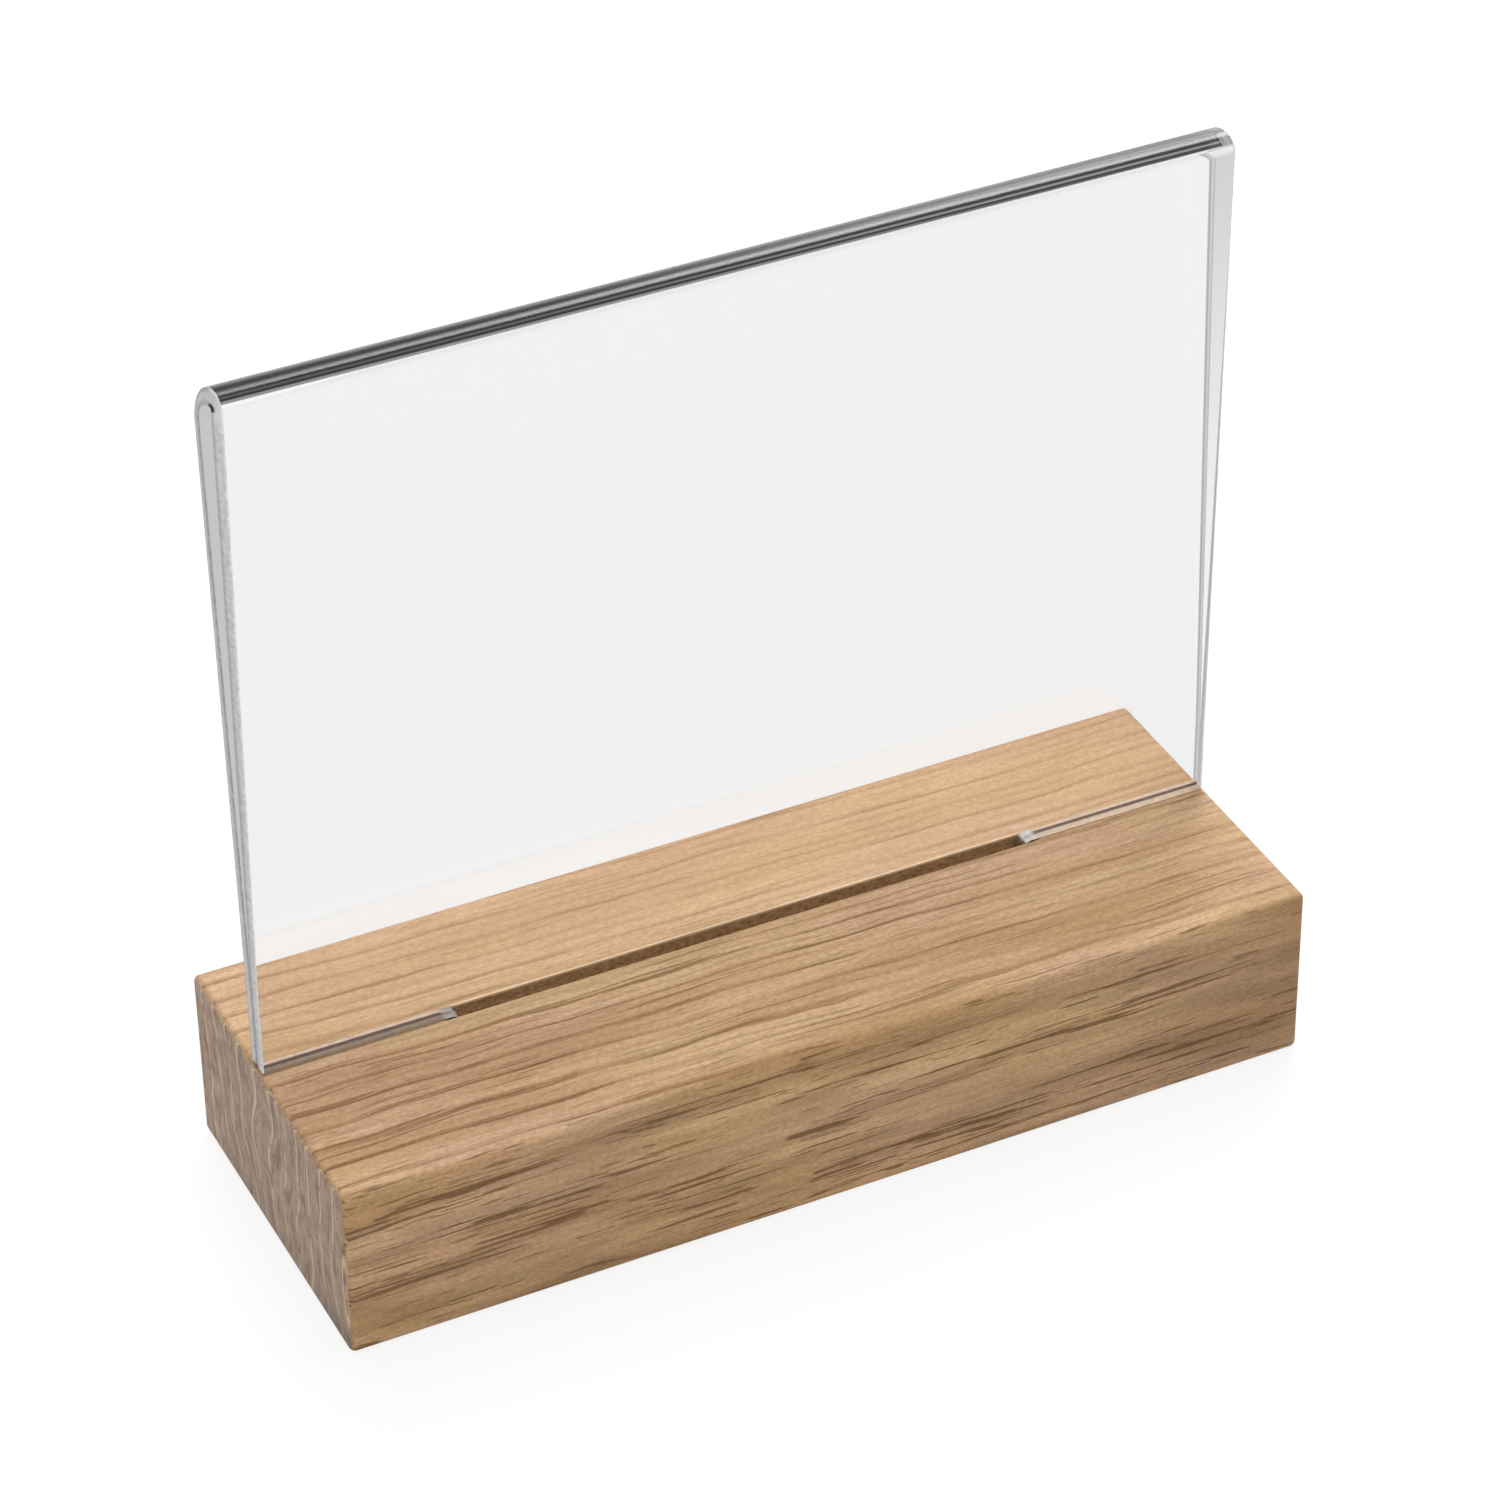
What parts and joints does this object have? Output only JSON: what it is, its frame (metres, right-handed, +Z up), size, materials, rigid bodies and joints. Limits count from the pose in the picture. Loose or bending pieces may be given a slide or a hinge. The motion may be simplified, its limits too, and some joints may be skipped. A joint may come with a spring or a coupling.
{
  "type": "wooden photo block holder",
  "caption": "Solid oak block with a slot in its top that holds a clear folded acrylic sleeve upright, open at both sides, for showing a landscape print.",
  "frame": {"origin": "middle of the block's underside, which is also the bottom centre of the whole object", "axes": "+X along the block, +Y from the front to the back, +Z up"},
  "size_m": [0.15, 0.055, 0.1387],
  "materials": {
    "oak": "unvarnished, finely sanded oak",
    "clear_acrylic": "clear, polished faces with saw-cut and flame-polished edges"
  },
  "bodies": {
    "base": {"oak_block": "oak"},
    "sleeve": {"acrylic_sleeve": "clear_acrylic"}
  },
  "joints": [
    {"name": "sleeve_lift", "type": "slide", "parent": "base", "child": "sleeve", "axis": [0, 0, 1], "range_m": [0, 0.03]}
  ]
}
